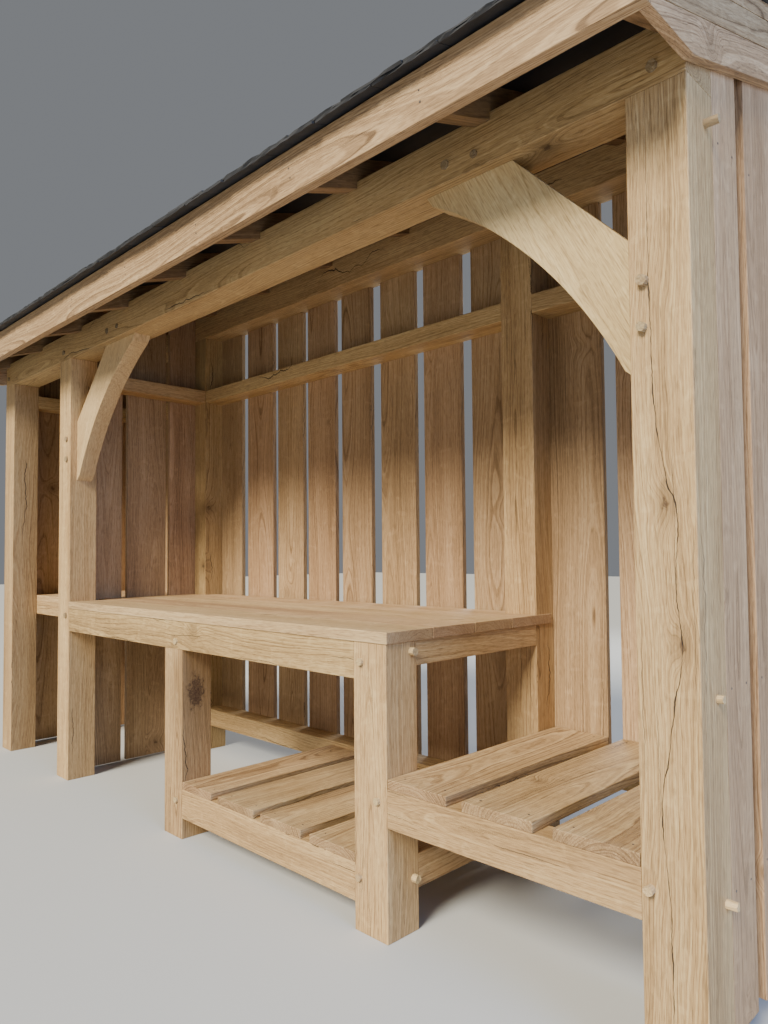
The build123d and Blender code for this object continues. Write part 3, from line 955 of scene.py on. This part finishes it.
# %% [markdown]
# The points come from the roof's measured bed. The eaves start with a doubling course under
# the first one, a half slate to the side, which is what gives the front edge its double line.

# %% Lay the slates
SLATE_WIDTH = 0.222
SLATE_LENGTH = 0.44
SLATE_THICKNESS = 0.0064
SLATE_GAUGE = 0.196
SLATE_GAP = 0.003
EAVES_LIFT = 0.006
LOOSE_LIFT = 0.0006
LOOSE_UP = (0.004, 0.012)

bed_low, bed_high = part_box("roof_slates")
bed_foot = Vector((0, bed_low.y, bed_low.z))
slope_length = (bed_high.y - bed_low.y) / math.cos(pitch)
half_span = (bed_high.x - bed_low.x) / 2
off_roof = Vector((0, -math.sin(pitch), math.cos(pitch)))
slate_rng = random.Random(5)
slate_points, slate_tilts = [], []


def lay_course(up, lift, tilt, stagger):
    for i in range(math.ceil(2 * half_span / SLATE_WIDTH) + 1):
        across = Vector((-half_span + (i + 0.5 * stagger) * SLATE_WIDTH, 0, 0))
        away = lift + slate_rng.uniform(0, LOOSE_LIFT)
        base = across + bed_foot + up_slope * (up + slate_rng.uniform(*LOOSE_UP))
        slate_points.append(base + off_roof * away)
        slate_tilts.append(pitch - tilt)


courses = math.ceil((slope_length - SLATE_LENGTH) / SLATE_GAUGE) + 1
lean = math.atan2(2 * SLATE_THICKNESS, SLATE_LENGTH)
lay_course(0.0, EAVES_LIFT, math.atan2(EAVES_LIFT, SLATE_LENGTH), 1)
for course in range(courses):
    lift = 2 * SLATE_THICKNESS if course else EAVES_LIFT + SLATE_THICKNESS
    tilt = lean if course else math.atan2(lift, SLATE_LENGTH)
    lay_course(course * SLATE_GAUGE + 0.002, lift, tilt, course % 2)
print("slates:", len(slate_points), "courses:", courses)

slate_mesh = run_tree("slates", slate_points, {"tilt": slate_tilts}, slate_tree, {
    "Width": SLATE_WIDTH, "Length": SLATE_LENGTH, "Thickness": SLATE_THICKNESS, "Gap": SLATE_GAP,
    "Half span": half_span - 0.001, "Front limit": bed_low.y + 0.001, "Back limit": bed_high.y - 0.002,
    "Seed": 3, "Material": slate})
add_piece("slate_courses", slate_mesh, "slate", "roof_slates")
print("slate faces:", len(slate_mesh.polygons))

# %% [markdown]
# ## Pegs
#
# The frame has no bolts. Its joints are drawn together with tapered oak pegs, left a little
# proud where they are driven in and longer where they come out. Each peg is cleft, so it is
# not round but has fourteen uneven facets.
#
# The tree stretches one rod to each peg and turns it to the peg's own direction. Noise moves
# its points, at the end more than at the side.

# %% Geometry Nodes: pegs
PEG_SPREAD = (0.88, 1.12)
RAGGED_REPEATS = 130.0


def make_peg_tree():
    tree, given, points = geometry_tree("Pegs", Radius="Float", Sides="Int", Taper="Float", Ragged="Float")
    here = put(tree, "GeometryNodeInputPosition")
    number = put(tree, "GeometryNodeInputIndex")
    rod = put(tree, "GeometryNodeMeshCylinder", {
        "Vertices": given["Sides"], "Side Segments": 3, "Fill Segments": 2, "Radius": 1.0, "Depth": 1.0})
    rod = store(move(rod, Offset=(0, 0, 0.5)), "unit", here)

    points = store(points, "seed", random_value(0.0, 1.0, 9, number))
    aim = put(tree, "FunctionNodeAlignRotationToVector", {"Vector": read(tree, "aim")}, axis="Z")
    radius, stick = given["Radius"], read(tree, "stick", "FLOAT")
    wide = radius * read(tree, "wide", "FLOAT") * random_value(*PEG_SPREAD, 4, number)
    solid = place_on(points, rod, Rotation=aim, Scale=combine(wide, wide, stick))

    x, y, z = read(tree, "unit").split()
    solid = store(solid, "grain", combine(z * stick, x * radius, y * radius))
    end = z.do("GREATER_THAN", 0.45)
    rough = put(tree, "ShaderNodeTexNoise", {"Vector": here, "Scale": RAGGED_REPEATS, "Detail": 1.0})
    ragged = (rough.other("Color") - (0.5, 0.5, 0.5)) * (given["Ragged"] * end.times(1.4, 1.0))
    inward = (read(tree, "seat") - here) * (end * given["Taper"])
    return end_tree(move(solid, Offset=ragged + inward), given)


peg_tree = make_peg_tree()


def drive(name, pins, **inputs):
    """One mesh of all the pegs or nails, each with its seat, aim, length, stain and width."""
    attributes = dict(zip(("seat", "aim", "stick", "stain", "wide"), zip(*pins)))
    return run_tree(name, attributes["seat"], attributes, peg_tree, inputs)


# %% [markdown]
# The pegs go where the joints are. Their places are given from the edges of the measured
# timbers. A peg's first 20 mm are inside the wood, and its stain says how dark its end is.

# %% Place the pegs
PEG_RADIUS = 0.0130
PEG_ROOT = 0.02
FRONT, RIGHT, LEFT, BACK, UP = (0, -1, 0), (1, 0, 0), (-1, 0, 0), (0, 1, 0), (0, 0, 1)
pegs = []


def peg(x, y, z, aim, proud, stain=0.1, wide=1.0):
    aim = Vector(aim)
    pegs.append((Vector((x, y, z)) - aim * PEG_ROOT, aim, PEG_ROOT + proud, stain, wide))


plate_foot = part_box("front_plate")[0].z
right_low, right_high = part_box("front_right_post")
second_low, second_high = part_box("front_second_post")
left_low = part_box("front_left_post")[0]
leg_low, leg_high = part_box("bench_right_leg")
short_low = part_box("bench_left_leg")[0]
front_y = right_low.y

# On the front: where each row is measured from, then how far each peg is from there
for edge, foot, spots in (
        # Through the plate, into the right and the left brace
        (right_low, plate_foot, ((-0.532, 0.050, 0.006, 0.75), (-0.431, 0.041, 0.006, 0.75))),
        (second_high, plate_foot, ((0.417, 0.048, 0.005, 0.95), (0.522, 0.048, 0.005, 0.95))),
        # Through the posts, into the braces and the bench
        (right_low, 0, ((0.035, 1.744, 0.016, 0.6, 0.95), (0.031, 1.640, 0.016, 0.55, 0.95),
                        (0.022, 0.411, 0.020, 0.0, 0.95))),
        (second_low, 0, ((0.096, 1.754, 0.010, 0.6), (0.098, 1.649, 0.010, 0.6),
                         (0.102, 0.838, 0.010, 0.6))),
        # Through the plate, into the head of each post
        (right_low, plate_foot, ((0.065, 0.043, 0.008, 0.75),)),
        (second_low, plate_foot, ((0.050, 0.043, 0.008, 0.75),)),
        (left_low, plate_foot, ((0.050, 0.043, 0.008, 0.75),)),
        # Bench legs and apron
        (leg_low, 0, ((0.033, 0.812, 0.012), (0.102, 0.408, 0.012), (0.022, 0.163, 0.012))),
        (short_low, 0, ((0.097, 0.149, 0.010), (0.090, 0.790, 0.008)))):
    for x, z, *look in spots:
        peg(edge.x + x, front_y, foot + z, FRONT, *look)

# Pegs that come out on the sides of the posts and of the bench's right leg
for y, z, proud, stain in ((0.095, 2.096, 0.034, 0.5), (0.088, 0.822, 0.016, 0.1),
                           (0.110, 0.380, 0.026, 0.1)):
    peg(right_high.x, front_y + y, z, RIGHT, proud, stain, 0.75)
    peg(left_low.x, front_y + y, z, LEFT, proud, stain, 0.75)
for y, z in ((0.110, 0.843), (0.114, 0.160)):
    peg(leg_high.x, front_y + y, z, RIGHT, 0.020)

# %% The back row of posts, pegged from behind in the same way
for name in ("back_left_post", "back_second_post", "back_middle_post", "back_right_post"):
    low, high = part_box(name)
    middle = (low.x + high.x) / 2
    for x, z in ((-0.03, high.z + 0.045), (0.03, 2.085), (-0.03, 0.835), (0.03, 0.20)):
        peg(middle + x, high.y, z, BACK, 0.012)
back_right, back_left = high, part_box("back_left_post")[0]
for y, z in ((-0.095, 2.101), (-0.088, 0.822), (-0.110, 0.380)):
    peg(back_right.x, back_right.y + y, z, RIGHT, 0.034)
    peg(back_left.x, back_right.y + y, z, LEFT, 0.030)

peg_mesh = drive("pegs", pegs, Radius=PEG_RADIUS, Sides=14, Taper=0.04, Ragged=0.0022, Material=peg_oak)
mark_end_cuts(peg_mesh)
add_piece("oak_pegs", peg_mesh, "oak_frame")
print("pegs:", len(pegs))

# %% [markdown]
# ## Nails
#
# Boards are nailed where they cross a rail: two nails a board, one near each edge. The same
# peg tree makes them, small, short and round, with the iron finish.

# %% Nail the boards
NAIL_RADIUS = 0.0034
NAIL_INSET = 0.028
NAIL_ROOT, NAIL_LENGTH = 0.004, 0.005
WANDER_ALONG, WANDER_ACROSS = 0.008, 0.004
nail_rng = random.Random(23)
nails = []


def timbers_of(name):
    mesh, square, shaped = read_timbers(name)
    mesh.free()
    return square + shaped


def nail(place, aim):
    nails.append((Vector(place) - Vector(aim) * NAIL_ROOT, Vector(aim), NAIL_LENGTH, 0.0, 1.0))


def astray(far):
    return nail_rng.uniform(-far, far)


def nail_boards(boards, heights, aim):
    """Two nails for each upright board at each height, on the face that looks along aim."""
    deep, across = (0, 1) if aim[0] else (1, 0)
    for centre, half, axes, _ in timbers_of(boards):
        reach = [sum(h * abs(a[i]) for h, a in zip(half, axes)) for i in range(3)]
        for height in heights:
            if abs(height - centre.z) < reach[2]:
                for side in (-1, 1):
                    place = Vector((0.0, 0.0, height + astray(WANDER_ALONG)))
                    inset = side * (reach[across] - NAIL_INSET) + astray(WANDER_ACROSS)
                    place[across] = centre[across] + inset
                    place[deep] = centre[deep] + aim[deep] * reach[deep]
                    nail(place, aim)


def middle_height(name):
    low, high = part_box(name)
    return (low.z + high.z) / 2


top_rail, bench_rail = middle_height("back_top_rails"), middle_height("bench_back_rails")
nail_boards("back_boards", (top_rail, bench_rail, middle_height("left_shelf_bearer") + 0.03), BACK)
nail_boards("right_end_boards", (top_rail, bench_rail, middle_height("right_end_low_rail")), RIGHT)
nail_boards("left_end_boards", (top_rail, bench_rail), LEFT)
nail_boards("dividing_boards", (top_rail, bench_rail), LEFT)
print("nails in the walls:", len(nails))

# %% Nail the fascia and the slats
RAFTER_NAIL_SHARES = (0.33, 0.54)
SLAT_SIDE_INSET, SLAT_END_INSET = 0.035, 0.04

# The fascia takes two nails into the end of each rafter
fascia_low, fascia_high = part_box("fascia")
for centre, *_ in timbers_of("rafters"):
    for share in RAFTER_NAIL_SHARES:
        height = fascia_low.z + (fascia_high.z - fascia_low.z) * share
        nail((centre.x + astray(WANDER_ALONG), fascia_low.y, height), FRONT)

# Slats are nailed down at both ends
for name in ("left_shelf_slats", "right_shelf_slats"):
    for centre, half, *_ in timbers_of(name):
        for end in (-1, 1):
            for side in (-1, 1):
                nail((centre.x + side * (half[1] - SLAT_SIDE_INSET),
                      centre.y + end * (half[0] - SLAT_END_INSET), centre.z + half[2]), UP)

nail_mesh = drive("nails", nails, Radius=NAIL_RADIUS, Sides=8, Taper=0.1, Ragged=0.0, Material=iron)
add_piece("board_nails", nail_mesh, "oak_boards")
print("nails:", len(nails))

# %% [markdown]
# ## Camera
#
# The view is the photograph's own: standing off the right front corner at chest height,
# looking across the front at 45 degrees. The lens is wide, about 26 mm, and the small shift
# puts its centre where the photograph's is.

# %% Set the camera
CAMERA_PLACE = Vector((2.7021, -1.9847, 1.1417))
YAW, TILT, ROLL = math.radians(44.87), math.radians(2.21), math.radians(-0.46)
LENS = 25.96
SHIFT = (0.0028, 0.0130)

upright = math.radians(90)
aimed = Matrix.Rotation(YAW, 4, "Z") @ Matrix.Rotation(upright + TILT, 4, "X")
turned = aimed @ Matrix.Rotation(ROLL, 4, "Z")

camera_data = bpy.data.cameras.new("camera")
camera_data.sensor_fit = "VERTICAL"
camera_data.sensor_height = 36.0
camera_data.lens = LENS
camera_data.shift_x, camera_data.shift_y = SHIFT
camera_data.clip_end = 200.0
camera = new_object("camera", camera_data)
camera.matrix_world = Matrix.Translation(CAMERA_PLACE) @ turned
bpy.context.scene.camera = camera
print("camera at", tuple(round(v, 3) for v in CAMERA_PLACE))

# %% [markdown]
# ## Studio
#
# A pale, even floor, a soft sky, one sun and two disc lamps. The sun is warm, comes from the
# front, a little to the right, and is 22 degrees wide, so its shadows have soft edges. A cool
# lamp on the right lights the end wall, and one behind keeps the back from going black.

# %% Light the studio
SUN_WAY, SUN_WIDTH = Vector((-0.9, 5.5, -4.1)), math.radians(22)
LAMP_SIZE = 4.0


def lamp(name, kind, power, colour, way, place=(0, 0, 0), **options):
    """A lamp that shines along way."""
    light = bpy.data.lights.new(name, kind)
    for option, value in {"energy": power, "color": colour, **options}.items():
        setattr(light, option, value)
    seat = new_object(name, light)
    seat.matrix_world = Matrix.Translation(place) @ way.to_track_quat("-Z", "Y").to_matrix().to_4x4()


lamp("key", "SUN", 7.2, (1.0, 0.945, 0.80), SUN_WAY, angle=SUN_WIDTH)
for name, place, aim, power, colour in (
        ("fill", (7.5, -1.2, 3.2), (1, 0, 1.2), 520, (0.35, 0.55, 1.0)),
        ("back", (-1.5, 6.5, 4.8), (0, 0, 1.2), 300, (0.90, 0.95, 1.0))):
    lamp(name, "AREA", power, colour, Vector(aim) - Vector(place), place, shape="DISK", size=LAMP_SIZE)

world = bpy.data.worlds.new("studio")
bpy.context.scene.world = world
world.use_nodes = True
fill(world.node_tree.nodes["Background"], {"Color": (0.86, 0.90, 0.96, 1), "Strength": 0.23})
print("lamps:", ", ".join(light.name for light in bpy.data.lights))

# %% Lay the floor
FLOOR_HALF = 30.0

floor_mesh = bpy.data.meshes.new("floor")
corners = [(x * FLOOR_HALF, y * FLOOR_HALF, 0) for x, y in ((-1, -1), (1, -1), (1, 1), (-1, 1))]
floor_mesh.from_pydata(corners, [], [(0, 1, 2, 3)])
floor_paint, _, floor_shader = new_material("floor_paint")
fill(floor_shader, {"Base Color": (0.50, 0.50, 0.49, 1), "Roughness": 0.8})
floor_mesh.materials.append(floor_paint)
new_object("floor", floor_mesh)
print("floor side in metres:", 2 * FLOOR_HALF)
